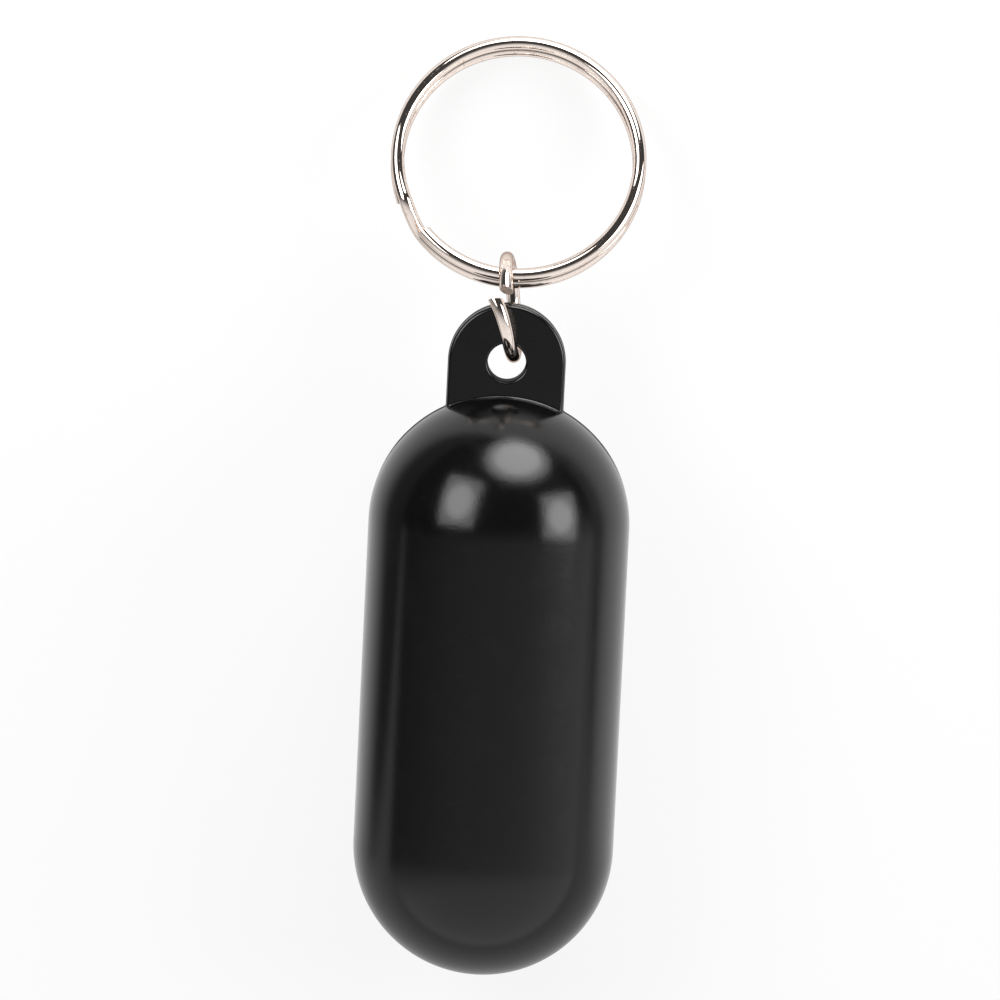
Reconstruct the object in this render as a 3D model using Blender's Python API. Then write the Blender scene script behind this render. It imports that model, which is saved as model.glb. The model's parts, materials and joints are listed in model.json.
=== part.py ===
"""Floating keychain: a moulded float, an open jump ring and a two-turn key ring.

The keychain lies on a flat surface with its float along Y and its rings at +Y.
The tab stands level out of the float's domed end, and the two rings droop from
it until the far side of the key ring rests on the surface.
Units are metres, Z is up, and the origin is at the middle of the footprint.
"""

import math

import bmesh
import bpy
from mathutils import Matrix, Vector

# Float: a round capsule with a flat hanging tab at one end
FLOAT_DIAMETER = 0.0286
DOME_SPACING = 0.0358
TAB_WIDTH = 0.01275
TAB_THICKNESS = 0.0028
TAB_EDGE_ROUND = 0.0004
HOLE_DIAMETER = 0.0042
HOLE_RIM_FLARE = 0.0003
HOLE_FROM_DOME_TIP = 0.00375
PARTING_HEIGHT = 0.00008
PARTING_WIDTH = 0.0005

# Jump ring: one length of round wire, opened sideways at its cut
JUMP_OUTER_DIAMETER = 0.0122
JUMP_WIRE = 0.0015
JUMP_CUT_GAP = 0.00035
JUMP_CUT_STEP = 0.0011
JUMP_CUT_ANGLE = math.radians(90.0)
JUMP_STEP_FADE = math.radians(25.0)
JUMP_TURN_SHIFT = 0.0003
JUMP_YAW = math.radians(4.0)
JUMP_LEAN = math.radians(5.5)

# Key ring: one length of wire wound into two flat turns
RING_OUTER_DIAMETER = 0.0280
RING_WIRE = 0.00145
RING_TURN_GAP = 0.00065
RING_TURN_SLIP = 0.00015
RING_CUT_ANGLE = math.radians(225.3)
RING_CROSSOVER_ANGLE = math.radians(20.0)
RING_YAW = math.radians(3.0)

# Room between separate pieces
CLEARANCE = 0.0003

# Facets
BODY_SEGMENTS = 64
DOME_SEGMENTS = 16
TAB_ARC_SEGMENTS = 32
HOLE_SEGMENTS = 40
JUMP_POINTS = 60
RING_POINTS_PER_TURN = 80

# Sizes that follow from the ones above
float_radius = FLOAT_DIAMETER / 2
tab_radius = TAB_WIDTH / 2
hole_radius = HOLE_DIAMETER / 2
jump_wire_radius = JUMP_WIRE / 2
jump_radius = JUMP_OUTER_DIAMETER / 2 - jump_wire_radius
ring_wire_radius = RING_WIRE / 2
ring_radius = RING_OUTER_DIAMETER / 2 - ring_wire_radius
turn_offset = (RING_WIRE + RING_TURN_GAP) / 2

# The web is the tab's plastic between the hole and the rounded end. The jump ring
# turns about a line just outside its middle, and its inside clears every corner.
web_half_width = (tab_radius - hole_radius) / 2
web_reach = math.hypot(web_half_width + JUMP_TURN_SHIFT, TAB_THICKNESS / 2)
jump_inner_radius = jump_radius - jump_wire_radius
jump_offset = jump_inner_radius - CLEARANCE - web_reach

# The key ring's two strands lie side by side inside the jump ring's far end. The
# upper turn has slipped a little outwards on the lower one.
strand_reach = jump_inner_radius - CLEARANCE - ring_wire_radius
strand_from_jump_centre = math.sqrt(strand_reach ** 2 - turn_offset ** 2)
ring_axis_distance = jump_offset + jump_radius
ring_centre_from_axis = (ring_radius - (jump_radius - strand_from_jump_centre)
                         - RING_TURN_SLIP / 2)

# The rings droop about the web until the lower turn's far side is on the surface.
centre_reach = (ring_axis_distance * math.cos(JUMP_YAW)
                + ring_centre_from_axis * math.cos(RING_YAW))
slip_reach = RING_TURN_SLIP / 2 * math.cos(RING_YAW)
lower_reach = centre_reach - slip_reach + ring_radius
upper_reach = centre_reach + slip_reach + ring_radius
droop_sine = (float_radius - ring_wire_radius) / math.hypot(lower_reach, turn_offset)
droop = math.asin(droop_sine) - math.atan2(turn_offset, lower_reach)

# The jump ring stands askew in the hole. Where it hangs straight down, its wire
# still clears the hole's wall at the rim that it comes nearest to.
droop_turn = Matrix.Rotation(-droop, 4, "X")
link_turn = (droop_turn @ Matrix.Rotation(JUMP_YAW, 4, "Z")
             @ Matrix.Rotation(-JUMP_LEAN, 4, "Y"))
yaw_slope, lean_slope = -link_turn[0][1], -link_turn[0][2]
rim_level = TAB_THICKNESS / 2 - HOLE_RIM_FLARE
rim_reach = math.sqrt(jump_radius ** 2 - (jump_offset - rim_level) ** 2)
rim_offset = rim_reach - JUMP_TURN_SHIFT - web_half_width - hole_radius
hole_room = hole_radius - jump_wire_radius - CLEARANCE
side_room = math.sqrt(max(hole_room ** 2 - rim_offset ** 2, 0.0))
jump_side_shift = side_room - rim_reach * lean_slope + rim_level * yaw_slope

# Places along Y, measured from the float's plain end, then centred
dome_a_y = float_radius
dome_b_y = dome_a_y + DOME_SPACING
hole_y = dome_b_y + float_radius + HOLE_FROM_DOME_TIP
turn_y = hole_y + hole_radius + web_half_width + JUMP_TURN_SHIFT
tip_y = (turn_y + upper_reach * math.cos(droop) + turn_offset * math.sin(droop)
         + ring_wire_radius)
centre_shift = (tip_y - PARTING_HEIGHT) / 2


def clear_scene():
    """Remove the objects that the scene holds at the start."""
    for thing in list(bpy.data.objects):
        bpy.data.objects.remove(thing, do_unlink=True)


def make_material(name, colour, roughness, metallic):
    """Return a Principled material of one colour."""
    material = bpy.data.materials.new(name)
    material.use_nodes = True
    shader = material.node_tree.nodes["Principled BSDF"]
    shader.inputs["Base Color"].default_value = (*colour, 1.0)
    shader.inputs["Roughness"].default_value = roughness
    shader.inputs["Metallic"].default_value = metallic
    material.diffuse_color = (*colour, 1.0)
    return material


def add_object(name, data, material=None):
    """Link new data to the scene as an object."""
    thing = bpy.data.objects.new(name, data)
    bpy.context.scene.collection.objects.link(thing)
    if material:
        data.materials.append(material)
    return thing


def mesh_from(name, bm):
    """Turn a bmesh into a smooth-shaded mesh with its faces pointing out."""
    bmesh.ops.recalc_face_normals(bm, faces=bm.faces)
    mesh = bpy.data.meshes.new(name)
    bm.to_mesh(mesh)
    bm.free()
    mesh.shade_smooth()
    mesh.set_sharp_from_angle(angle=math.radians(32.0))
    return mesh


def add_tool_shape(name, mesh):
    """Add a shape that only serves another object's Boolean."""
    thing = add_object(name, mesh)
    thing.display_type = "WIRE"
    thing.hide_render = True
    return thing


def add_boolean(target, tool, operation):
    """Put a Boolean with a tool shape on an object."""
    modifier = target.modifiers.new(f"{operation.lower()} {tool.name}", "BOOLEAN")
    modifier.operation = operation
    modifier.object = tool
    modifier.solver = "EXACT"


def capsule_mesh():
    """Spin a half outline with two quarter circles into the float's body."""
    bm = bmesh.new()
    outline = []
    for step in range(DOME_SEGMENTS + 1):
        turn = math.pi / 2 * step / DOME_SEGMENTS
        across = float_radius * math.sin(turn)
        outline.append(Vector((0.0, dome_a_y - float_radius * math.cos(turn), -across)))
    for step in range(DOME_SEGMENTS + 1):
        turn = math.pi / 2 * (1 - step / DOME_SEGMENTS)
        across = float_radius * math.sin(turn)
        outline.append(Vector((0.0, dome_b_y + float_radius * math.cos(turn), -across)))
    verts = [bm.verts.new(point) for point in outline]
    edges = [bm.edges.new(pair) for pair in zip(verts, verts[1:])]
    bmesh.ops.spin(bm, geom=verts + edges, cent=(0, 0, 0), axis=(0, 1, 0), dvec=(0, 0, 0),
                   angle=math.tau, steps=BODY_SEGMENTS, use_merge=True)
    bmesh.ops.remove_doubles(bm, verts=bm.verts, dist=1e-6)
    return mesh_from("capsule", bm)


def plate(outline, thickness, edge_round):
    """Extrude a flat outline to a thickness about its own plane, edges rounded."""
    bm = bmesh.new()
    verts = [bm.verts.new((x, y, -thickness / 2)) for x, y in outline]
    face = bm.faces.new(verts)
    raised = bmesh.ops.extrude_face_region(bm, geom=[face])
    top = [item for item in raised["geom"] if isinstance(item, bmesh.types.BMVert)]
    bmesh.ops.translate(bm, verts=top, vec=(0, 0, thickness))
    bmesh.ops.recalc_face_normals(bm, faces=bm.faces)
    if edge_round > 0:
        rims = [edge for edge in bm.edges
                if abs(edge.verts[0].co.z - edge.verts[1].co.z) < 1e-7]
        bmesh.ops.bevel(bm, geom=rims, offset=edge_round, segments=3, profile=0.5,
                        affect="EDGES", clamp_overlap=True)
    return bm


def half_circle(centre_y, radius, start, segments):
    """Return points along half a circle about a point on the Y axis."""
    points = []
    for step in range(segments + 1):
        angle = start + math.pi * step / segments
        points.append((radius * math.cos(angle), centre_y + radius * math.sin(angle)))
    return points


def tab_mesh():
    """Make the tab: straight sides from inside the dome and a round end."""
    root_y = dome_b_y + float_radius * 0.5
    outline = half_circle(hole_y, tab_radius, 0.0, TAB_ARC_SEGMENTS)
    outline += [(-tab_radius, root_y), (tab_radius, root_y)]
    return mesh_from("tab_blank", plate(outline, TAB_THICKNESS, TAB_EDGE_ROUND))


def parting_body_mesh():
    """Make the thin plate whose rim is the parting line round the body."""
    radius = float_radius + PARTING_HEIGHT
    outline = half_circle(dome_b_y, radius, 0.0, BODY_SEGMENTS // 2)
    outline += half_circle(dome_a_y, radius, math.pi, BODY_SEGMENTS // 2)
    return mesh_from("parting_body", plate(outline, PARTING_WIDTH, PARTING_HEIGHT * 0.8))


def parting_tab_mesh():
    """Make the thin plate whose rim is the parting line round the tab."""
    radius = tab_radius + PARTING_HEIGHT
    root_y = dome_b_y + float_radius * 0.6
    outline = half_circle(hole_y, radius, 0.0, TAB_ARC_SEGMENTS)
    outline += [(-radius, root_y), (radius, root_y)]
    return mesh_from("parting_tab", plate(outline, PARTING_WIDTH, PARTING_HEIGHT * 0.8))


def hole_mesh():
    """Spin the hole's cutter, which flares where it leaves each face of the tab."""
    bm = bmesh.new()
    half = TAB_THICKNESS / 2
    flared = hole_radius + HOLE_RIM_FLARE
    outline = [(0.0, half + 0.002), (flared + 0.002, half + 0.002), (flared, half),
               (hole_radius + HOLE_RIM_FLARE * 0.3, half - HOLE_RIM_FLARE * 0.4),
               (hole_radius, half - HOLE_RIM_FLARE)]
    outline += [(across, -up) for across, up in reversed(outline)]
    verts = [bm.verts.new((across, 0.0, up)) for across, up in outline]
    edges = [bm.edges.new(pair) for pair in zip(verts, verts[1:])]
    bmesh.ops.spin(bm, geom=verts + edges, cent=(0, 0, 0), axis=(0, 0, 1), dvec=(0, 0, 0),
                   angle=math.tau, steps=HOLE_SEGMENTS, use_merge=True)
    bmesh.ops.remove_doubles(bm, verts=bm.verts, dist=1e-6)
    bmesh.ops.translate(bm, verts=bm.verts, vec=(0, hole_y, 0))
    return mesh_from("hole_cutter", bm)


def wire_curve(name, points, radius):
    """Make a round wire with flat cut ends along a run of points."""
    curve = bpy.data.curves.new(name, "CURVE")
    curve.dimensions = "3D"
    curve.bevel_depth = radius
    curve.bevel_resolution = 3
    curve.use_fill_caps = True
    spline = curve.splines.new("POLY")
    spline.points.add(len(points) - 1)
    for item, point in zip(spline.points, points):
        item.co = (*point, 1.0)
    spline.use_smooth = True
    return curve


def jump_points():
    """Follow the jump ring from its lower cut end round to its upper one."""
    half_gap = JUMP_CUT_GAP / 2 / jump_radius
    first = JUMP_CUT_ANGLE + half_gap
    last = JUMP_CUT_ANGLE + math.tau - half_gap
    points = []
    for step in range(JUMP_POINTS + 1):
        turn = first + (last - first) * step / JUMP_POINTS
        opened = -JUMP_CUT_STEP * math.exp((JUMP_CUT_ANGLE - turn) / JUMP_STEP_FADE)
        along = jump_offset + jump_radius * math.cos(turn)
        points.append(Vector((opened, along, jump_radius * math.sin(turn))))
    return points


def ring_points():
    """Follow the key ring's upper turn, its crossover and its lower turn."""
    turn_length = math.tau - RING_CROSSOVER_ANGLE
    last = 2 * turn_length + RING_CROSSOVER_ANGLE
    count = round(RING_POINTS_PER_TURN * last / math.tau)
    points = []
    for step in range(count + 1):
        run = last * step / count
        share = min(max((run - turn_length) / RING_CROSSOVER_ANGLE, 0.0), 1.0)
        side = math.cos(math.pi * share)
        angle = RING_CUT_ANGLE + run
        middle = ring_centre_from_axis + RING_TURN_SLIP / 2 * side
        points.append(Vector((ring_radius * math.cos(angle),
                              middle + ring_radius * math.sin(angle),
                              turn_offset * side)))
    return points


def build_float(plastic):
    """Join body, tab and parting line, and cut the hole."""
    place = Matrix.Translation((0.0, -centre_shift, float_radius))
    body = add_object("float_body", capsule_mesh(), plastic)
    body.matrix_world = place
    for name, mesh, operation in (("parting_body", parting_body_mesh(), "UNION"),
                                  ("tab_blank", tab_mesh(), "UNION"),
                                  ("parting_tab", parting_tab_mesh(), "UNION"),
                                  ("hole_cutter", hole_mesh(), "DIFFERENCE")):
        tool = add_tool_shape(name, mesh)
        tool.matrix_world = place
        add_boolean(body, tool, operation)
    return body


def build_rings(steel):
    """Hang the jump ring on the web's axis and the key ring on the jump ring."""
    turn_point = Vector((jump_side_shift, turn_y - centre_shift, float_radius))
    link_place = Matrix.Translation(turn_point) @ link_turn
    swing = add_object("jump_ring_axis", None)
    swing.matrix_world = link_place

    jump = add_object("jump_ring", wire_curve("jump_ring", jump_points(), jump_wire_radius),
                      steel)
    jump.parent = swing

    far_strand = link_place @ Vector((0.0, ring_axis_distance, 0.0))
    ring_turn = droop_turn @ Matrix.Rotation(-RING_YAW, 4, "Z")
    hinge = add_object("split_ring_axis", None)
    hinge.parent = swing
    hinge.matrix_local = link_place.inverted() @ Matrix.Translation(far_strand) @ ring_turn

    ring = add_object("split_ring", wire_curve("split_ring", ring_points(), ring_wire_radius),
                      steel)
    ring.parent = hinge
    return jump, ring


clear_scene()
black_plastic = make_material("satin black plastic", (0.018, 0.018, 0.019), 0.42, 0.0)
plated_steel = make_material("nickel plated steel", (0.80, 0.76, 0.70), 0.14, 1.0)
build_float(black_plastic)
build_rings(plated_steel)
bpy.context.view_layer.update()
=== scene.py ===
"""A floating keychain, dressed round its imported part.

The float is a sealed black moulding with a hanging tab. An open jump ring
passes through the tab's hole and carries a split ring of two turns. The
keychain lies on pale paper under soft lamps and is seen from above, from a
little to the rings' side, with its rings at the top of the picture.
Units are metres, +Y runs from the float's plain end to the rings, +Z is up.
"""

import json
import logging
import math
from abc import ABC, abstractmethod
from dataclasses import dataclass, field
from enum import Enum
from typing import Sequence

import bmesh
import bpy
from mathutils import Matrix, Vector

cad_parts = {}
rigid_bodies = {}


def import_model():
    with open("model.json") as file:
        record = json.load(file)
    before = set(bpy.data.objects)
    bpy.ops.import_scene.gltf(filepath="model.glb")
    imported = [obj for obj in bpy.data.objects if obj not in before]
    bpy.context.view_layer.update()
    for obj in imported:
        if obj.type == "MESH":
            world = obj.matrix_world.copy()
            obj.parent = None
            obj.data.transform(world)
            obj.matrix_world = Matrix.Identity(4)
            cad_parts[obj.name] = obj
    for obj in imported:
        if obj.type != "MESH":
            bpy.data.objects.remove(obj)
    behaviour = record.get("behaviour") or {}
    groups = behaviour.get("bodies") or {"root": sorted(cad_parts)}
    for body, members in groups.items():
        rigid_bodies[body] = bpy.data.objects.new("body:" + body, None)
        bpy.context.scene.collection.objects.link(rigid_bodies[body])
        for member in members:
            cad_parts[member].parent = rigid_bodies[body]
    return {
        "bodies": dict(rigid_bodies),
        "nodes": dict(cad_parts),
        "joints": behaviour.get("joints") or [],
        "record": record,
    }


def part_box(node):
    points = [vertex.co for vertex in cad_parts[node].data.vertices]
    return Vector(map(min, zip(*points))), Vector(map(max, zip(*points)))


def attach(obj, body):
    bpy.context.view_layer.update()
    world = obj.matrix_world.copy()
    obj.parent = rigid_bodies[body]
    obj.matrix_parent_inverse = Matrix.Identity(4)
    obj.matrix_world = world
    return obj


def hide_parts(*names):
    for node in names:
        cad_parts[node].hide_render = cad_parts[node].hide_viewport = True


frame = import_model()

LOG = logging.getLogger("floating_keychain")
MM = 0.001
WHITE = (1.0, 1.0, 1.0, 1.0)
SHARP_DEGREES = 30.0
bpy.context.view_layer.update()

Colour = tuple[float, float, float, float]
Socket = bpy.types.NodeSocket
Value = float | Socket


class Body(Enum):
    """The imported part's bodies that the pieces ride on."""

    FLOAT = "float"
    JUMP_RING = "jump_ring"
    SPLIT_RING = "split_ring"


class Slot(Enum):
    """The record's material slots that the pieces take their finish from."""

    FLOAT = "float"
    JUMP_RING = "jump_ring_wire"
    SPLIT_RING = "split_ring_wire"


class LampShape(Enum):
    """Outlines of a soft lamp, by Blender's names."""

    RECTANGLE = "RECTANGLE"
    ELLIPSE = "ELLIPSE"


def linear(hex_code: str) -> Colour:
    """Turn an sRGB hex colour to linear light.

    Args:
        hex_code: A colour such as "#d8d2c8".

    Returns:
        Red, green and blue in linear light, and an alpha of 1.
    """
    digits = hex_code.lstrip("#")
    channels = []
    for start in (0, 2, 4):
        value = int(digits[start:start + 2], 16) / 255.0
        low = value <= 0.04045
        channels.append(value / 12.92 if low else ((value + 0.055) / 1.055) ** 2.4)
    return (channels[0], channels[1], channels[2], 1.0)


def spread(start: float, end: float, count: int) -> list[float]:
    """List evenly spaced numbers after a start, up to and with the end."""
    return [start + (end - start) * step / count for step in range(1, count + 1)]


class Nodes:
    """A node tree that is filled node by node."""

    def __init__(self, owner: bpy.types.Material | bpy.types.World) -> None:
        """Take over and empty the node tree of a material or a world."""
        owner.use_nodes = True
        self.tree = owner.node_tree
        self.tree.nodes.clear()

    def add_node(
        self, kind: str, inputs: dict | None = None, **settings: str
    ) -> bpy.types.Node:
        """Add a node, set it up, and fill its inputs with values or links.

        Args:
            kind: The node's type name without "ShaderNode".
            inputs: Input sockets, by name or number, and what each takes: a fixed
                value or the output socket that it reads.
            settings: Attributes of the node and what they are set to.

        Returns:
            The new node.
        """
        node = self.tree.nodes.new("ShaderNode" + kind)
        for name, value in settings.items():
            setattr(node, name, value)
        for socket, source in (inputs or {}).items():
            if isinstance(source, Socket):
                self.tree.links.new(source, node.inputs[socket])
            else:
                node.inputs[socket].default_value = source
        return node

    def compute(self, operation: str, *operands: Value) -> Socket:
        """Work out a number by one of Blender's operations on its operands in order."""
        inputs = dict(enumerate(operands))
        return self.add_node("Math", inputs, operation=operation).outputs[0]

    def mix(self, share: Value, first: Value | Colour, second: Value | Colour) -> Socket:
        """Blend two numbers, or two colours given as tuples, by the second's share."""
        data_type, place_a, place_b, result = "FLOAT", 2, 3, 0
        if isinstance(first, tuple):
            data_type, place_a, place_b, result = "RGBA", 6, 7, 2
        inputs = {0: share, place_a: first, place_b: second}
        return self.add_node("Mix", inputs, data_type=data_type).outputs[result]

    def ramp(
        self, value: Socket, start: float, end: float, first: float = 0.0,
        last: float = 1.0, interpolation: str = "SMOOTHSTEP",
    ) -> Socket:
        """Go from one number to another while an input runs over a range.

        Args:
            value: The input.
            start: Where the change starts.
            end: Where it ends.
            first: The number before the start.
            last: The number past the end.
            interpolation: Blender's name for the way it changes.

        Returns:
            The changing number.
        """
        inputs = {"Value": value, "From Min": start, "From Max": end,
                  "To Min": first, "To Max": last}
        node = self.add_node("MapRange", inputs, interpolation_type=interpolation)
        return node.outputs["Result"]

    def noise(self, place: Socket, size_mm: float, detail: float, **more: float) -> Socket:
        """Add a noise whose largest spots have a real size.

        Args:
            place: The coordinates in metres.
            size_mm: The size of its largest spots.
            detail: How many finer layers it has.
            more: Further inputs of the noise node.

        Returns:
            The noise, from 0 to 1.
        """
        inputs = {"Vector": place, "Scale": 1.0 / (size_mm * MM), "Detail": detail}
        node = self.add_node("TexNoise", {**inputs, **more}, noise_dimensions="3D")
        return node.outputs["Fac"]

    def bump(
        self, height: Socket, depth_mm: float, under: Socket | None = None,
        strength: float = 1.0,
    ) -> Socket:
        """Turn a height to a bumped normal.

        Args:
            height: The height, from 0 to 1.
            depth_mm: How deep a height of 1 is.
            under: The normal of the coarser bumps that it goes on top of.
            strength: How much of the bump shows.

        Returns:
            The normal.
        """
        inputs = {"Strength": strength, "Distance": depth_mm * MM, "Height": height}
        if under is not None:
            inputs["Normal"] = under
        return self.add_node("Bump", inputs).outputs["Normal"]


class Finish(ABC):
    """A material's look, which its subclasses draw in nodes."""

    name: str

    @abstractmethod
    def surface(self, nodes: Nodes) -> Socket:
        """Draw the nodes and give the shader that the surface takes."""

    def build(self) -> bpy.types.Material:
        """Make the material."""
        material = bpy.data.materials.new(self.name)
        nodes = Nodes(material)
        nodes.add_node("OutputMaterial", {"Surface": self.surface(nodes)})
        return material


@dataclass(frozen=True)
class MouldedPolyethylene(Finish):
    """Black polyethylene as it leaves a finely blasted mould.

    The eye sees near-black plastic with soft, slightly grainy reflections that
    sharpen towards the outline, faint waves where the wall cooled, and a few
    rubbed marks from other keys.
    """

    name: str = "moulded_black_polyethylene"
    colour: str = "#090909"
    colour_worn: str = "#0e0e0f"
    ior: float = 1.51
    specular_level: float = 0.41
    roughness_low: float = 0.13
    roughness_high: float = 0.18
    grain_mm: float = 0.26
    grain_depth_mm: float = 0.010
    wave_mm: float = 9.0
    wave_depth_mm: float = 0.02
    rub_mm: float = 3.5
    rub_from: float = 0.52
    rub_to: float = 0.72
    rub_smooth: float = 0.3
    rub_rough: float = 0.7

    def surface(self, nodes: Nodes) -> Socket:
        """Draw the nodes and give the shader that the surface takes."""
        place = nodes.add_node("TexCoord").outputs["Object"]
        # A real blasted grain is under 0.1 mm. It is drawn coarser, so that it shows.
        grain = nodes.noise(place, self.grain_mm, 3.0, Roughness=0.6)
        wave = nodes.noise(place, self.wave_mm, 1.0, Roughness=0.4)
        rub = nodes.noise(place, self.rub_mm, 6.0, Roughness=0.65, Distortion=0.4)
        waves = nodes.bump(wave, self.wave_depth_mm)
        shader = nodes.add_node("BsdfPrincipled", {
            "IOR": self.ior,
            "Metallic": 0.0,
            "Specular IOR Level": self.specular_level,
            "Base Color": nodes.mix(nodes.ramp(rub, self.rub_from, self.rub_to),
                                    linear(self.colour), linear(self.colour_worn)),
            "Roughness": nodes.ramp(rub, self.rub_smooth, self.rub_rough,
                                    self.roughness_low, self.roughness_high, "LINEAR"),
            "Normal": nodes.bump(grain, self.grain_depth_mm, waves)})
        return shader.outputs["BSDF"]


@dataclass(frozen=True)
class BrightNickelPlate(Finish):
    """Bright nickel plated over drawn steel wire.

    The eye sees a warm white metal that mirrors the room in thin light and dark
    lines along the wire, broken a little by the drawing marks under the plate
    and by small scuffs where the rings rub each other.
    """

    name: str
    colour: str = "#f7eae1"
    colour_dull: str = "#dac6b8"
    # Partly nickel's own grazing tint and partly painted shade: it is set darker so that
    # the wire's outlines show grey.
    grazing_tint_and_painted_shade: str = "#b4a69e"
    roughness_low: float = 0.04
    roughness_high: float = 0.15
    streak_along_mm: float = 2.4
    streak_across: float = 9.0
    streak_depth_mm: float = 0.0012
    scuff_mm: float = 0.5
    scuff_depth_mm: float = 0.002
    scuff_strength: float = 0.6
    scuff_from: float = 0.55
    scuff_to: float = 0.70

    def surface(self, nodes: Nodes) -> Socket:
        """Draw the nodes and give the shader that the surface takes."""
        coordinates = nodes.add_node("TexCoord")
        # The UV map has millimetres along the wire and turns round it, so that the
        # drawing marks run along.
        marks = nodes.add_node("Mapping", {
            "Vector": coordinates.outputs["UV"],
            "Scale": (1.0 / self.streak_along_mm, self.streak_across, 1.0)},
            vector_type="POINT")
        streak = nodes.add_node("TexNoise", {
            "Vector": marks.outputs["Vector"], "Scale": 1.0, "Detail": 4.0,
            "Roughness": 0.6}, noise_dimensions="2D").outputs["Fac"]
        scuff = nodes.noise(coordinates.outputs["Object"], self.scuff_mm, 5.0,
                            Roughness=0.6, Distortion=0.8)
        scuffed = nodes.ramp(scuff, self.scuff_from, self.scuff_to)
        streaks = nodes.bump(streak, self.streak_depth_mm)
        shader = nodes.add_node("BsdfPrincipled", {
            "Metallic": 1.0,
            # The grazing tint darkens the wire's outlines, partly with painted shade.
            "Specular Tint": linear(self.grazing_tint_and_painted_shade),
            "Base Color": nodes.mix(scuffed, linear(self.colour),
                                    linear(self.colour_dull)),
            "Roughness": nodes.ramp(scuffed, 0.0, 1.0, self.roughness_low,
                                    self.roughness_high, "LINEAR"),
            "Normal": nodes.bump(scuff, self.scuff_depth_mm, streaks,
                                 self.scuff_strength)})
        return shader.outputs["BSDF"]


@dataclass(frozen=True)
class ShearedSteel(Finish):
    """Bare steel where the nippers went through the wire.

    The eye sees a dull beige face with brown specks, torn rough across, beside the
    bright plate.
    """

    name: str = "sheared_steel"
    colour: str = "#fdeadb"
    colour_torn: str = "#5e4436"
    metallic: float = 0.2
    roughness: float = 0.4
    tear_mm: float = 0.22
    tear_depth_mm: float = 0.05

    def surface(self, nodes: Nodes) -> Socket:
        """Draw the nodes and give the shader that the surface takes."""
        place = nodes.add_node("TexCoord").outputs["Object"]
        tear = nodes.noise(place, self.tear_mm, 3.0, Distortion=1.2)
        shader = nodes.add_node("BsdfPrincipled", {
            "Metallic": self.metallic,
            "Roughness": self.roughness,
            "Base Color": nodes.mix(tear, linear(self.colour),
                                    linear(self.colour_torn)),
            "Normal": nodes.bump(tear, self.tear_depth_mm)})
        return shader.outputs["BSDF"]


@dataclass(frozen=True)
class PalePaper(Finish):
    """White paper sweep under the keychain.

    The camera sees it as plain white with the soft shadow under the float and
    the rings. In glossy rays it glows with a painted pool of light: white round
    the keychain, dimming further out, sooner to the left and past the plain end.
    """

    name: str = "white_paper_with_painted_glow"
    colour: str = "#f8f8f8"
    own_white: float = 0.86
    left_near_mm: float = 22.0
    left_far_mm: float = 62.0
    right_near_mm: float = 40.0
    right_far_mm: float = 130.0
    painted_glow_right_far_level: float = 0.2
    front_near_mm: float = 35.0
    front_far_mm: float = 60.0
    painted_glow_front_level: float = 0.6

    def surface(self, nodes: Nodes) -> Socket:
        """Draw the nodes and give the shader that the surface takes."""
        place = nodes.add_node("TexCoord").outputs["Object"]
        spot = nodes.add_node("SeparateXYZ", {"Vector": place})
        # Painted light: in glossy rays the paper glows, falling off to the left, to the
        # right and past the plain end.
        left = nodes.ramp(spot.outputs["X"], -self.left_near_mm * MM,
                          -self.left_far_mm * MM, 1.0, 0.0)
        right = nodes.ramp(spot.outputs["X"], self.right_near_mm * MM,
                           self.right_far_mm * MM, 1.0, self.painted_glow_right_far_level)
        front = nodes.ramp(spot.outputs["Y"], -self.front_near_mm * MM,
                           -self.front_far_mm * MM, 1.0, 0.0)
        sides = nodes.compute("MULTIPLY", left, right)
        painted_glow = nodes.mix(front, self.painted_glow_front_level, sides)

        path = nodes.add_node("LightPath").outputs
        seen = nodes.compute("MAXIMUM", path["Is Camera Ray"], path["Is Glossy Ray"])
        seen = nodes.compute("MAXIMUM", seen, path["Is Transmission Ray"])
        share = nodes.compute("MULTIPLY", seen, self.own_white)
        # Camera rays see even white, glossy rays see the painted glow.
        level = nodes.mix(path["Is Glossy Ray"], 1.0, painted_glow)
        paper = nodes.add_node("BsdfDiffuse", {"Color": linear(self.colour)})
        white = nodes.add_node("Emission", {"Color": WHITE, "Strength": level})
        both = nodes.add_node("MixShader", {0: share, 1: paper.outputs[0],
                                            2: white.outputs[0]})
        return both.outputs[0]


def add_object(
    name: str, data: bpy.types.ID, place: Matrix | None = None
) -> bpy.types.Object:
    """Put a mesh, a lamp or a camera into the scene, at a place or at the origin."""
    made = bpy.data.objects.new(name, data)
    bpy.context.scene.collection.objects.link(made)
    if place is not None:
        made.matrix_world = place
    return made


def add_mesh(
    bm: bmesh.types.BMesh, name: str, materials: Sequence[bpy.types.Material]
) -> bpy.types.Object:
    """Turn a bmesh, which is freed, into an object with its finishes."""
    mesh = bpy.data.meshes.new(name)
    bm.to_mesh(mesh)
    bm.free()
    for material in materials:
        mesh.materials.append(material)
    return add_object(name, mesh)


def finish_piece(
    bm: bmesh.types.BMesh,
    name: str,
    materials: Sequence[bpy.types.Material],
    body: Body,
    node: str,
    sharp_degrees: float | None,
) -> bpy.types.Object:
    """Turn a bmesh into a piece that rides on a body and stands for a CAD node.

    Args:
        bm: The finished shape, in the row frame. It is freed.
        name: The piece's name.
        materials: Its finishes, in the order of the faces' material numbers.
        body: The body it rides on.
        node: The CAD node it stands for.
        sharp_degrees: Edges that turn more than this stay sharp, or None for none.

    Returns:
        The new object.
    """
    piece = add_mesh(bm, name, materials)
    mesh = piece.data
    mesh.shade_smooth()
    if sharp_degrees is not None:
        mesh.set_sharp_from_angle(angle=math.radians(sharp_degrees))
    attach(piece, body.value)
    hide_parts(node)
    LOG.info("%s: %d faces on body %s", name, len(mesh.polygons), body.value)
    return piece


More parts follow.
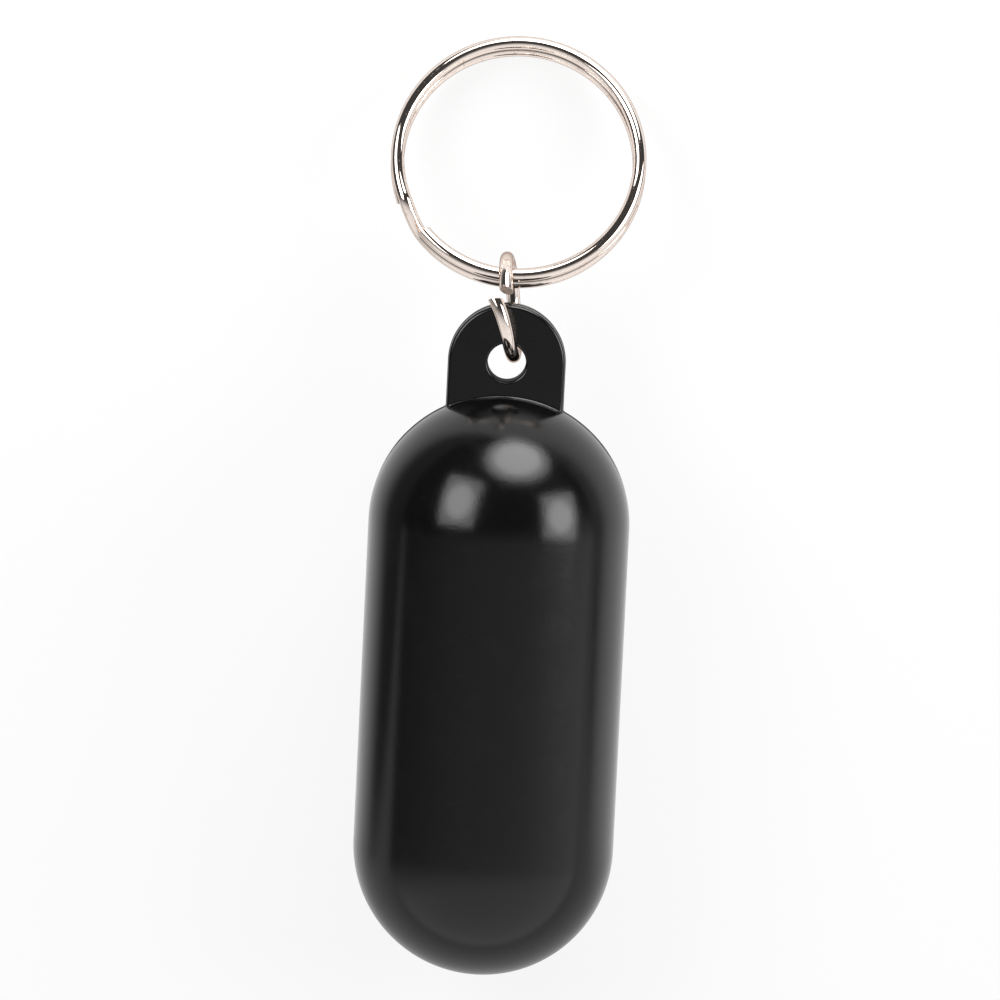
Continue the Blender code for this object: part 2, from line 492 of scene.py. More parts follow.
def grow_loop(
    bm: bmesh.types.BMesh,
    loop: Sequence[bmesh.types.BMVert],
    places: Sequence[Vector],
    closed: bool = True,
) -> list[bmesh.types.BMVert]:
    """Extrude a loop of vertices and put the new ones at given places.

    Args:
        bm: The bmesh that holds the loop.
        loop: The loop's vertices in order.
        places: One place for each new vertex.
        closed: Whether the last vertex joins the first.

    Returns:
        The new loop's vertices, in the same order.
    """
    count = len(loop)
    last = count if closed else count - 1
    pairs = [(loop[index], loop[(index + 1) % count]) for index in range(last)]
    edges = [bm.edges.get(pair) for pair in pairs]
    made = bmesh.ops.extrude_edge_only(bm, edges=edges)["geom"]
    fresh = {item for item in made if isinstance(item, bmesh.types.BMVert)}
    grown = []
    for vert, place in zip(loop, places):
        twin = next(edge.other_vert(vert) for edge in vert.link_edges
                    if edge.other_vert(vert) in fresh)
        twin.co = place
        grown.append(twin)
    return grown


@dataclass
class SectionPoint:
    """A point of the tab's cross-section: its place, its outward normal and its group."""

    x: float
    z: float
    normal_x: float
    normal_z: float
    share: float | None


@dataclass
class Float:
    """The sealed float: a round capsule, its hanging tab and its parting line."""

    diameter: float = 28.6 * MM
    dome_spacing: float = 35.8 * MM
    tab_width: float = 12.75 * MM
    tab_thickness: float = 2.8 * MM
    tab_edge_round: float = 0.4 * MM
    hole_diameter: float = 4.2 * MM
    hole_rim_round: float = 0.28 * MM
    hole_from_dome_tip: float = 3.75 * MM
    parting_height: float = 0.08 * MM
    parting_width: float = 0.5 * MM
    parting_left: float = 0.1
    parting_full_polar: float = math.radians(52.0)
    parting_low_polar: float = math.radians(72.0)
    root_fillet: float = 0.3 * MM
    plain_end_patch: float = 2.0 * MM
    line_shares: tuple[float, ...] = (0.0, 0.4, 0.75, 0.95, 1.0, 1.25)
    edge_steps: int = 2
    corner_steps: int = 5
    face_steps: int = 24
    fillet_steps: int = 5
    blend_polar: float = math.radians(44.0)
    blend_rings: int = 14
    tab_dome_rings: int = 16
    barrel_rings: int = 12
    plain_dome_rings: int = 30
    patch_cuts: int = 13
    tab_side_steps: int = 4
    tab_end_steps: int = 64
    rim_steps: int = 6
    hole_steps: int = 96
    near: float = 1e-6
    merge: float = 2e-6
    name: str = "sealed_float"
    node: str = "float_body"
    start_y: float = field(init=False)

    def __post_init__(self) -> None:
        """Take the float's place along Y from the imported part."""
        self.start_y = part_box(self.node)[0].y + self.parting_height

    @property
    def radius(self) -> float:
        """The capsule's radius."""
        return self.diameter / 2

    @property
    def plain_dome_y(self) -> float:
        """The centre of the plain end's dome."""
        return self.start_y + self.radius

    @property
    def tab_dome_y(self) -> float:
        """The centre of the tab end's dome."""
        return self.plain_dome_y + self.dome_spacing

    @property
    def hole_y(self) -> float:
        """The hole's centre."""
        return self.tab_dome_y + self.radius + self.hole_from_dome_tip

    @property
    def line_edge(self) -> float:
        """The height at which the plain skin beside the parting line starts."""
        return self.line_shares[-1] * self.parting_width / 2

    def rise(self, z: float) -> float:
        """How far the parting line stands off the skin at a height from its plane."""
        share = abs(z) / (self.parting_width / 2)
        return self.parting_height * math.sqrt(max(0.0, 1.0 - share * share))

    def line_left(self, y: float) -> float:
        """How much of the parting line's height a place has: the body's is low."""
        full = self.radius * math.cos(self.parting_full_polar)
        low = self.radius * math.cos(self.parting_low_polar)
        share = min(max((y - self.tab_dome_y - low) / (full - low), 0.0), 1.0)
        return self.parting_left + (1.0 - self.parting_left) * share

    def quarter_section(self) -> list[SectionPoint]:
        """List the tab's cross-section from the parting plane to the middle of its face.

        Returns:
            Points from (half width, 0) to (0, half thickness), in order.
        """
        half_width = self.tab_width / 2
        half_thick = self.tab_thickness / 2
        half_line = self.parting_width / 2
        points = [SectionPoint(half_width + self.rise(z), z, 1.0, 0.0, None)
                  for z in (share * half_line for share in self.line_shares)]
        outer: list[SectionPoint] = []
        flat_z = half_thick - self.tab_edge_round
        for z in spread(self.line_edge, flat_z, self.edge_steps):
            outer.append(SectionPoint(half_width, z, 1.0, 0.0, 0.0))
        for turn in spread(0.0, math.pi / 2, self.corner_steps):
            outer.append(SectionPoint(
                half_width - self.tab_edge_round + self.tab_edge_round * math.cos(turn),
                flat_z + self.tab_edge_round * math.sin(turn),
                math.cos(turn), math.sin(turn), 0.0))
        flat_x = half_width - self.tab_edge_round
        for step in range(1, self.face_steps + 1):
            x = flat_x * (1 - step / self.face_steps)
            outer.append(SectionPoint(x, half_thick, 0.0, 1.0, 0.0))
        for index, point in enumerate(outer):
            point.share = (index + 1) / len(outer)
        return points + outer

    def section(self) -> list[SectionPoint]:
        """List the whole cross-section, anticlockwise seen from the plain end."""
        first = self.quarter_section()
        second = [SectionPoint(-p.x, p.z, -p.normal_x, p.normal_z, p.share)
                  for p in reversed(first[:-1])]
        upper = first + second
        lower = [SectionPoint(p.x, -p.z, p.normal_x, -p.normal_z, p.share)
                 for p in reversed(upper[1:-1])]
        return upper + lower

    def skin_turn(self, point: SectionPoint, across: float) -> float:
        """Find where a section point lies round the body at a distance from its axis.

        Args:
            point: The section point.
            across: The ring's distance from the float's axis.

        Returns:
            The angle from +X towards +Z.
        """
        if point.share is None:
            turn = math.asin(abs(point.z) / across)
        else:
            edge = math.asin(self.line_edge / across)
            turn = edge + (math.pi / 2 - edge) * point.share
        if point.x < 0:
            turn = math.pi - turn
        return turn if point.z >= 0 else -turn

    def on_dome(self, centre_y: float, polar: float, turn: float, towards: float) -> Vector:
        """Place a point on a dome's skin.

        Args:
            centre_y: The dome's centre.
            polar: The angle from the float's axis.
            turn: The angle round the axis, from +X towards +Z.
            towards: 1 for the tab's end and -1 for the plain end.

        Returns:
            The place, with the parting line's rise.
        """
        z = self.radius * math.sin(polar) * math.sin(turn)
        y = centre_y + towards * self.radius * math.cos(polar)
        reach = self.radius + self.rise(z) * self.line_left(y)
        return Vector((reach * math.sin(polar) * math.cos(turn),
                       centre_y + towards * reach * math.cos(polar),
                       reach * math.sin(polar) * math.sin(turn)))

    def fillet_centre(self, point: SectionPoint) -> Vector:
        """Find the centre of the root fillet's arc beside a section point."""
        x = point.x + self.root_fillet * point.normal_x
        z = point.z + self.root_fillet * point.normal_z
        reach = self.radius + self.rise(point.z) + self.root_fillet
        return Vector((x, self.tab_dome_y + math.sqrt(reach ** 2 - x ** 2 - z ** 2), z))

    def loft_body(
        self, bm: bmesh.types.BMesh
    ) -> tuple[list[bmesh.types.BMVert], list[bmesh.types.BMVert]]:
        """Loft the fillet, both domes and the barrel from the tab's root.

        Args:
            bm: The bmesh that takes the body.

        Returns:
            The root loop on the tab's own faces, and the last ring at the plain end.
        """
        section = self.section()
        centres = [self.fillet_centre(point) for point in section]
        dome_centre = Vector((0.0, self.tab_dome_y, 0.0))
        root = [bm.verts.new((point.x, centre.y, point.z))
                for point, centre in zip(section, centres)]
        for index, vert in enumerate(root):
            bm.edges.new((vert, root[(index + 1) % len(root)]))
        loop = root

        for share in spread(0.0, 1.0, self.fillet_steps):
            places = []
            for point, centre in zip(section, centres):
                start = Vector((-point.normal_x, 0.0, -point.normal_z))
                end = (dome_centre - centre).normalized()
                places.append(centre + self.root_fillet * start.slerp(end, share))
            loop = grow_loop(bm, loop, places)

        polars = []
        turns = []
        for vert in loop:
            place = vert.co - dome_centre
            polars.append(math.acos(place.y / place.length))
            turns.append(math.atan2(place.z, place.x))
        for share in spread(0.0, 1.0, self.blend_rings):
            places = []
            for point, polar, turn in zip(section, polars, turns):
                here = polar + (self.blend_polar - polar) * share
                aim = self.skin_turn(point, self.radius * math.sin(here))
                if point.z < 0 and turn > 0:
                    turn -= math.tau
                if point.z >= 0 and turn < -self.near:
                    turn += math.tau
                if point.share is None:
                    angle = aim
                else:
                    ease = share * share * (3 - 2 * share)
                    angle = turn + (aim - turn) * ease
                places.append(self.on_dome(self.tab_dome_y, here, angle, 1.0))
            loop = grow_loop(bm, loop, places)

        level = math.pi / 2
        last = math.asin(self.plain_end_patch / self.radius)
        rings = [(self.tab_dome_y, polar, 1.0)
                 for polar in spread(self.blend_polar, level, self.tab_dome_rings)]
        rings += [(y, level, 1.0)
                  for y in spread(self.tab_dome_y, self.plain_dome_y, self.barrel_rings)]
        rings += [(self.plain_dome_y, polar, -1.0)
                  for polar in spread(level, last, self.plain_dome_rings)]
        for centre_y, polar, towards in rings:
            across = self.radius * math.sin(polar)
            loop = grow_loop(bm, loop, [
                self.on_dome(centre_y, polar, self.skin_turn(point, across), towards)
                for point in section])
        return root, loop

    def close_plain_end(
        self, bm: bmesh.types.BMesh, loop: Sequence[bmesh.types.BMVert]
    ) -> None:
        """Close the plain end with a small grid, so the parting line runs across it.

        Args:
            bm: The bmesh that holds the body.
            loop: The last ring round the plain end.
        """
        bmesh.ops.contextual_create(bm, geom=list(loop))
        rows = []
        for vert in loop:
            if vert.co.x <= self.near:
                continue
            twin = min(loop, key=lambda other, v=vert: (other.co.x + v.co.x) ** 2
                       + (other.co.z - v.co.z) ** 2)
            made = bmesh.ops.connect_verts(bm, verts=[vert, twin])["edges"]
            rows.extend(made)
        split = bmesh.ops.subdivide_edges(bm, edges=rows, cuts=self.patch_cuts,
                                          use_grid_fill=True)
        fresh = [item for item in split["geom_inner"]
                 if isinstance(item, bmesh.types.BMVert)]
        for vert in fresh:
            reach = self.radius + self.rise(vert.co.z) * self.parting_left
            inside = reach ** 2 - vert.co.x ** 2 - vert.co.z ** 2
            vert.co.y = self.plain_dome_y - math.sqrt(inside)

    def raise_tab(
        self, bm: bmesh.types.BMesh, root: Sequence[bmesh.types.BMVert]
    ) -> None:
        """Carry the tab's edge up one side, round its end and down the other.

        Args:
            bm: The bmesh that holds the body.
            root: The root loop on the tab's own faces.
        """
        count = len(root)
        edge_points = len(self.quarter_section()) - self.face_steps
        shares = spread(0.0, 1.0, self.tab_side_steps)
        right = [root[index % count] for index in range(1 - edge_points, edge_points)]
        row = right
        for share in shares:
            places = [Vector((vert.co.x, vert.co.y + (self.hole_y - vert.co.y) * share,
                              vert.co.z)) for vert in right]
            row = grow_loop(bm, row, places, closed=False)
        edges = [bm.edges.get(pair) for pair in zip(row, row[1:])]
        spun = bmesh.ops.spin(bm, geom=list(row) + edges, cent=(0.0, self.hole_y, 0.0),
                              axis=(0.0, 0.0, 1.0), dvec=(0.0, 0.0, 0.0),
                              angle=math.pi, steps=self.tab_end_steps,
                              use_merge=False)
        ended = [item for item in spun["geom_last"] if isinstance(item, bmesh.types.BMVert)]
        row = sorted(ended, key=lambda vert: math.atan2(vert.co.z, -vert.co.x))
        left = [min(root, key=lambda vert, r=other: (vert.co.x - r.co.x) ** 2
                    + (vert.co.z - r.co.z) ** 2) for other in row]
        for share in shares:
            places = [Vector((high.co.x, self.hole_y + (low.co.y - self.hole_y) * share,
                              high.co.z)) for high, low in zip(row, left)]
            row = grow_loop(bm, row, places, closed=False)

    def cut_hole(self, bm: bmesh.types.BMesh) -> None:
        """Turn the hole's wall with its rounded rims, the wall under material number 1.

        Args:
            bm: The bmesh that holds the float.
        """
        rim = self.hole_rim_round
        hole = self.hole_diameter / 2
        half = self.tab_thickness / 2
        outline = []
        for step in range(self.rim_steps + 1):
            turn = math.pi / 2 * step / self.rim_steps
            outline.append((hole + rim * (1 - math.sin(turn)),
                            half - rim * (1 - math.cos(turn))))
        outline += [(across, -up) for across, up in reversed(outline)]
        verts = [bm.verts.new((across, self.hole_y, up)) for across, up in outline]
        edges = [bm.edges.new(pair) for pair in zip(verts, verts[1:])]
        bmesh.ops.spin(bm, geom=verts + edges, cent=(0.0, self.hole_y, 0.0),
                       axis=(0.0, 0.0, 1.0), dvec=(0.0, 0.0, 0.0), angle=math.tau,
                       steps=self.hole_steps, use_merge=True)
        centre = Vector((0.0, self.hole_y, 0.0))
        for face in bm.faces:
            away = max((vert.co - centre).to_2d().length for vert in face.verts)
            if away < hole + rim / 4:
                face.material_index = 1

    def close_faces(self, bm: bmesh.types.BMesh) -> None:
        """Fill the tab's two flat faces between its edge, its root and its hole.

        Args:
            bm: The bmesh that holds the float.
        """
        for side in (1.0, -1.0):
            level = side * self.tab_thickness / 2
            rims = [edge for edge in bm.edges if edge.is_boundary
                    and all(abs(vert.co.z - level) < self.near for vert in edge.verts)]
            bmesh.ops.triangle_fill(bm, use_beauty=True, use_dissolve=False, edges=rims,
                                    normal=(0.0, 0.0, side))

    def build(
        self, plastic: bpy.types.Material, hole_wall: bpy.types.Material
    ) -> bpy.types.Object:
        """Model the float and dress it.

        Args:
            plastic: The float's plastic.
            hole_wall: The plastic on the hole's wall.

        Returns:
            The finished piece.
        """
        bm = bmesh.new()
        root, last_ring = self.loft_body(bm)
        self.raise_tab(bm, root)
        self.close_plain_end(bm, last_ring)
        self.cut_hole(bm)
        bmesh.ops.remove_doubles(bm, verts=bm.verts, dist=self.merge)
        self.close_faces(bm)
        bmesh.ops.recalc_face_normals(bm, faces=bm.faces)
        bmesh.ops.translate(bm, verts=bm.verts, vec=(0.0, 0.0, self.radius))
        open_edges = [edge for edge in bm.edges if not edge.is_manifold]
        LOG.info("%s: %d open edges", self.name, len(open_edges))
        piece = finish_piece(bm, self.name, [plastic, hole_wall], Body.FLOAT,
                             self.node, None)
        self.level_flat_faces(piece.data)
        return piece

    def level_flat_faces(self, mesh: bpy.types.Mesh) -> None:
        """Shade the tab's flat faces as flat right up to their rounded edges.

        Args:
            mesh: The float's mesh.
        """
        normals = [vert.normal.copy() for vert in mesh.vertices]
        for face in mesh.polygons:
            level = abs(face.center.z - self.radius)
            on_face = abs(level - self.tab_thickness / 2) < self.near
            if on_face and abs(face.normal.z) > 0.9999:
                for index in face.vertices:
                    normals[index] = Vector((0.0, 0.0, math.copysign(1.0, face.normal.z)))
        mesh.normals_split_custom_set_from_vertices(normals)


@dataclass
class Wire:
    """A round wire swept along a path, with a UV map in millimetres and turns."""

    radius: float
    sides: int = 28
    rim_chamfer: float = 0.09 * MM
    chamfer_depth: float = 0.7
    end_window: int = 16

    def frames(self, path: Sequence[Vector], across: Vector) -> list[Matrix]:
        """Carry a cross-section's frame along a path without twisting it.

        Args:
            path: The wire's centre line.
            across: The way the first frame's X axis points.

        Returns:
            One frame for each point, with its Z axis along the wire.
        """
        frames = []
        side = across.normalized()
        for index, point in enumerate(path):
            before = path[max(index - 1, 0)]
            after = path[min(index + 1, len(path) - 1)]
            along = (after - before).normalized()
            side = (side - along * side.dot(along)).normalized()
            other = along.cross(side)
            turn = Matrix((side, other, along)).transposed().to_4x4()
            frames.append(Matrix.Translation(point) @ turn)
        return frames

    def sweep(
        self,
        path: Sequence[Vector],
        across: Vector,
        cut_ways: tuple[Vector | None, Vector | None],
    ) -> bmesh.types.BMesh:
        """Sweep the wire along its path and cut its two ends.

        Args:
            path: The wire's centre line.
            across: The way the first frame's X axis points.
            cut_ways: The way each cut face looks, or None for a square cut.

        Returns:
            The swept wire, with its cut faces under material number 1.
        """
        bm = bmesh.new()
        uv_layer = bm.loops.layers.uv.new("wire")
        step_layer = bm.verts.layers.int.new("step")
        frames = self.frames(path, across)
        ring = bmesh.ops.create_circle(bm, cap_ends=False, radius=self.radius,
                                       segments=self.sides, matrix=frames[0])["verts"]
        ring.sort(key=lambda vert: self.turn_of(frames[0], vert.co))
        loop = ring
        for index in range(1, len(frames)):
            move = frames[index] @ frames[index - 1].inverted()
            loop = grow_loop(bm, loop, [move @ vert.co for vert in loop])
            for vert in loop:
                vert[step_layer] = index
        self.lay_uv(bm, uv_layer, step_layer, frames, path)
        bmesh.ops.recalc_face_normals(bm, faces=bm.faces)
        last = len(frames) - 1
        self.cut_end(bm, step_layer, frames[0], -1.0, cut_ways[0],
                     range(0, self.end_window))
        self.cut_end(bm, step_layer, frames[last], 1.0, cut_ways[1],
                     range(last - self.end_window, last + 1))
        return bm

    def turn_of(self, frame: Matrix, place: Vector) -> float:
        """Find the share of a turn at which a point lies round its frame."""
        local = frame.inverted() @ place
        return (math.atan2(local.y, local.x) / math.tau) % 1.0

    def lay_uv(
        self,
        bm: bmesh.types.BMesh,
        uv_layer: bmesh.types.BMLayerItem,
        step_layer: bmesh.types.BMLayerItem,
        frames: Sequence[Matrix],
        path: Sequence[Vector],
    ) -> None:
        """Unroll the wire: millimetres along it by turns round it.

        Args:
            bm: The swept wire.
            uv_layer: The UV layer to fill.
            step_layer: Each vertex's place in the path.
            frames: The frames along the path.
            path: The wire's centre line.
        """
        runs = [0.0]
        for before, after in zip(path, path[1:]):
            runs.append(runs[-1] + (after - before).length / MM)
        for face in bm.faces:
            turns = [self.turn_of(frames[loop.vert[step_layer]], loop.vert.co)
                     for loop in face.loops]
            wraps = max(turns) - min(turns) > 0.5
            for loop, turn in zip(face.loops, turns):
                if wraps and turn < 0.5:
                    turn += 1.0
                loop[uv_layer].uv = (runs[loop.vert[step_layer]], turn)

    def cut_end(
        self,
        bm: bmesh.types.BMesh,
        step_layer: bmesh.types.BMLayerItem,
        frame: Matrix,
        outward: float,
        cut_way: Vector | None,
        steps: range,
    ) -> None:
        """Cut one end with a plane, close it and break its rim.

        Args:
            bm: The swept wire.
            step_layer: Each vertex's place in the path.
            frame: The frame at that end.
            outward: 1 where the wire's own direction leaves the end, or -1.
            cut_way: The way the cut face looks, or None for a square cut.
            steps: The path's steps near that end.
        """
        along = frame.to_3x3() @ Vector((0.0, 0.0, outward))
        way = (cut_way or along).normalized()
        lean = way - along * way.dot(along)
        spot = frame.translation - along * self.rim_chamfer
        if lean.length > 1e-4:
            spot -= lean.normalized() * self.radius
        near = [vert for vert in bm.verts if vert[step_layer] in steps]
        chosen = set(near)
        geom: list = list(near)
        geom += [edge for edge in bm.edges if chosen.issuperset(edge.verts)]
        geom += [face for face in bm.faces if chosen.issuperset(face.verts)]
        made = bmesh.ops.bisect_plane(bm, geom=geom, dist=1e-7, plane_co=spot,
                                      plane_no=way, clear_outer=True)["geom_cut"]
        rim = [item for item in made if isinstance(item, bmesh.types.BMEdge)]
        cap = bmesh.ops.contextual_create(bm, geom=rim)["faces"]
        for face in cap:
            face.normal_update()
            if face.normal.dot(way) < 0:
                face.normal_flip()
            face.material_index = 1
        broken = bmesh.ops.inset_region(bm, faces=cap, thickness=self.rim_chamfer,
                                        depth=self.rim_chamfer * self.chamfer_depth,
                                        use_even_offset=True)["faces"]
        for face in broken:
            face.material_index = 1


@dataclass
class Link:
    """How the two rings lie: askew in the tab's hole, and drooping to the paper."""

    float_body: Float
    jump_outer_diameter: float = 12.2 * MM
    jump_wire: float = 1.5 * MM
    jump_turn_shift: float = 0.3 * MM
    jump_yaw: float = math.radians(5.5)
    jump_lean: float = math.radians(5.5)
    ring_outer_diameter: float = 28.0 * MM
    ring_wire: float = 1.45 * MM
    turn_gap: float = 0.65 * MM
    turn_slip: float = 0.15 * MM
    ring_yaw: float = math.radians(3.0)
    ring_trim: float = 0.02 * MM
    hole_rim_flare: float = 0.3 * MM
    clearance: float = 0.3 * MM

    @property
    def jump_radius(self) -> float:
        """The jump ring's radius to the middle of its wire."""
        return (self.jump_outer_diameter - self.jump_wire) / 2

    @property
    def ring_radius(self) -> float:
        """The split ring's radius to the middle of its wire."""
        return (self.ring_outer_diameter - self.ring_wire) / 2

    @property
    def turn_offset(self) -> float:
        """How far each turn lies from the split ring's middle plane."""
        return (self.ring_wire + self.turn_gap) / 2

    @property
    def web_half_width(self) -> float:
        """Half the width of the plastic between the hole and the tab's end."""
        return (self.float_body.tab_width - self.float_body.hole_diameter) / 4

    @property
    def jump_inner_radius(self) -> float:
        """The radius of the jump ring's open inside."""
        return self.jump_radius - self.jump_wire / 2

    @property
    def jump_offset(self) -> float:
        """How far the jump ring's centre lies from the line it turns about."""
        web_reach = math.hypot(self.web_half_width + self.jump_turn_shift,
                               self.float_body.tab_thickness / 2)
        return self.jump_inner_radius - self.clearance - web_reach

    @property
    def ring_axis_distance(self) -> float:
        """How far the jump ring's outer strand lies from the line it turns about."""
        return self.jump_offset + self.jump_radius

    @property
    def ring_centre_distance(self) -> float:
        """How far the split ring's centre lies from the jump ring's outer strand."""
        reach = self.jump_inner_radius - self.clearance - self.ring_wire / 2
        strand = math.sqrt(reach ** 2 - self.turn_offset ** 2)
        hung = self.ring_radius - (self.jump_radius - strand) - self.turn_slip / 2
        return hung - self.ring_trim

    @property
    def droop(self) -> float:
        """The angle at which the lower turn's far side comes to rest on the paper."""
        centre = self.ring_centre_distance + self.ring_trim - self.turn_slip / 2
        far = (self.ring_axis_distance * math.cos(self.jump_yaw) + self.ring_radius
               + centre * math.cos(self.ring_yaw))
        height = self.float_body.radius - self.ring_wire / 2
        level = math.asin(height / math.hypot(far, self.turn_offset))
        return level - math.atan2(self.turn_offset, far)

    @property
    def jump_turn(self) -> Matrix:
        """How the jump ring is turned: drooping, swung and leaning to one side."""
        return (Matrix.Rotation(-self.droop, 4, "X")
                @ Matrix.Rotation(self.jump_yaw, 4, "Z")
                @ Matrix.Rotation(-self.jump_lean, 4, "Y"))

    @property
    def side_shift(self) -> float:
        """How far to the side the jump ring stands in the hole."""
        turn = self.jump_turn
        rim_level = self.float_body.tab_thickness / 2 - self.hole_rim_flare
        rim_reach = math.sqrt(self.jump_radius ** 2 - (self.jump_offset - rim_level) ** 2)
        hole = self.float_body.hole_diameter / 2
        rim_offset = rim_reach - self.jump_turn_shift - self.web_half_width - hole
        room = hole - self.jump_wire / 2 - self.clearance
        side_room = math.sqrt(max(room ** 2 - rim_offset ** 2, 0.0))
        return side_room + rim_reach * turn[0][2] - rim_level * turn[0][1]

    @property
    def jump_place(self) -> Matrix:
        """The jump ring's frame in the row frame."""
        turn_y = (self.float_body.hole_y + self.float_body.hole_diameter / 2
                  + self.web_half_width + self.jump_turn_shift)
        spot = Vector((self.side_shift, turn_y, self.float_body.radius))
        return Matrix.Translation(spot) @ self.jump_turn

    @property
    def ring_place(self) -> Matrix:
        """The split ring's frame in the row frame, at the strand that it hangs on."""
        strand = self.jump_place @ Vector((0.0, self.ring_axis_distance, 0.0))
        return (Matrix.Translation(strand) @ Matrix.Rotation(-self.droop, 4, "X")
                @ Matrix.Rotation(-self.ring_yaw, 4, "Z"))


@dataclass
class JumpRing:
    """The open jump ring: its ends stand apart after it was twisted open."""

    link: Link
    cut_gap: float = 0.35 * MM
    cut_step: float = 1.5 * MM
    cut_turn: float = math.radians(90.0)
    step_fade: float = math.radians(32.0)
    overrun: float = 0.2 * MM
    shear: float = math.radians(23.0)
    shear_aside: float = math.radians(18.0)
    points: int = 220
    name: str = "open_jump_ring"
    node: str = "jump_ring"

    @property
    def first_turn(self) -> float:
        """The angle at the lower cut end."""
        return self.cut_turn + self.cut_gap / 2 / self.link.jump_radius

    @property
    def last_turn(self) -> float:
        """The angle at the upper cut end, which runs a little past its side of the cut."""
        gap = self.cut_gap / 2 - self.overrun
        return self.cut_turn + math.tau - gap / self.link.jump_radius

    def path(self) -> list[Vector]:
        """Follow the wire from its lower end round to its upper one.

        Returns:
            The centre line in the jump ring's frame.
        """
        link = self.link
        line = []
        for step in range(self.points + 1):
            share = step / self.points
            turn = self.first_turn + (self.last_turn - self.first_turn) * share
            opened = -self.cut_step * math.exp((self.cut_turn - turn) / self.step_fade)
            out = link.jump_offset + link.jump_radius * math.cos(turn)
            line.append(Vector((opened, out, link.jump_radius * math.sin(turn))))
        return line

    def build(
        self, plate: bpy.types.Material, steel: bpy.types.Material
    ) -> bpy.types.Object:
        """Model the jump ring and dress it.

        Args:
            plate: The wire's plate.
            steel: The bare steel of its cut faces.

        Returns:
            The finished piece.
        """
        wire = Wire(self.link.jump_wire / 2)
        inward = Vector((0.0, -math.cos(self.first_turn), -math.sin(self.first_turn)))
        square = Vector((0.0, math.sin(self.first_turn), -math.cos(self.first_turn)))
        ahead = Vector((0.0, -math.sin(self.last_turn), math.cos(self.last_turn)))
        out = Vector((0.0, math.cos(self.last_turn), math.sin(self.last_turn)))
        aside = Vector((-math.tan(self.shear_aside), 0.0, 0.0))
        sheared = ahead + out * math.tan(self.shear) + aside
        bm = wire.sweep(self.path(), inward, (square, sheared))
        bmesh.ops.transform(bm, matrix=self.link.jump_place, verts=bm.verts)
        return finish_piece(bm, self.name, [plate, steel], Body.JUMP_RING,
                            self.node, SHARP_DEGREES)


@dataclass
class SplitRing:
    """The split ring: an upper turn, a short crossover and a lower turn."""

    link: Link
    cut_turn: float = math.radians(224.2)
    crossover: float = math.radians(20.0)
    points_per_turn: int = 320
    name: str = "two_turn_split_ring"
    node: str = "split_ring"

    def path(self) -> list[Vector]:
        """Follow the wire from the upper cut end to the lower one.

        Returns:
            The centre line in the split ring's frame.
        """
        link = self.link
        one_turn = math.tau - self.crossover
        last = 2 * one_turn + self.crossover
        count = round(self.points_per_turn * last / math.tau)
        line = []
        for step in range(count + 1):
            run = last * step / count
            side = math.cos(math.pi * min(max((run - one_turn) / self.crossover, 0.0), 1.0))
            turn = self.cut_turn + run
            middle = link.ring_centre_distance + link.turn_slip / 2 * side
            line.append(Vector((link.ring_radius * math.cos(turn),
                                middle + link.ring_radius * math.sin(turn),
                                link.turn_offset * side)))
        return line

    def build(
        self, plate: bpy.types.Material, steel: bpy.types.Material
    ) -> bpy.types.Object:
        """Model the split ring and dress it.

        Args:
            plate: The wire's plate.
            steel: The bare steel of its cut faces.

        Returns:
            The finished piece.
        """
        wire = Wire(self.link.ring_wire / 2)
        bm = wire.sweep(self.path(), Vector((0.0, 0.0, -1.0)), (None, None))
        bmesh.ops.transform(bm, matrix=self.link.ring_place, verts=bm.verts)
        return finish_piece(bm, self.name, [plate, steel], Body.SPLIT_RING,
                            self.node, SHARP_DEGREES)


@dataclass(frozen=True)
class SoftBox:
    """A soft lamp: its way from the float (right, top, camera), its size and its light."""

    name: str
    direction: tuple[float, float, float]
    size: tuple[float, float]
    lean_degrees: float
    brightness: float
    middle_brightness: float
    shape: LampShape


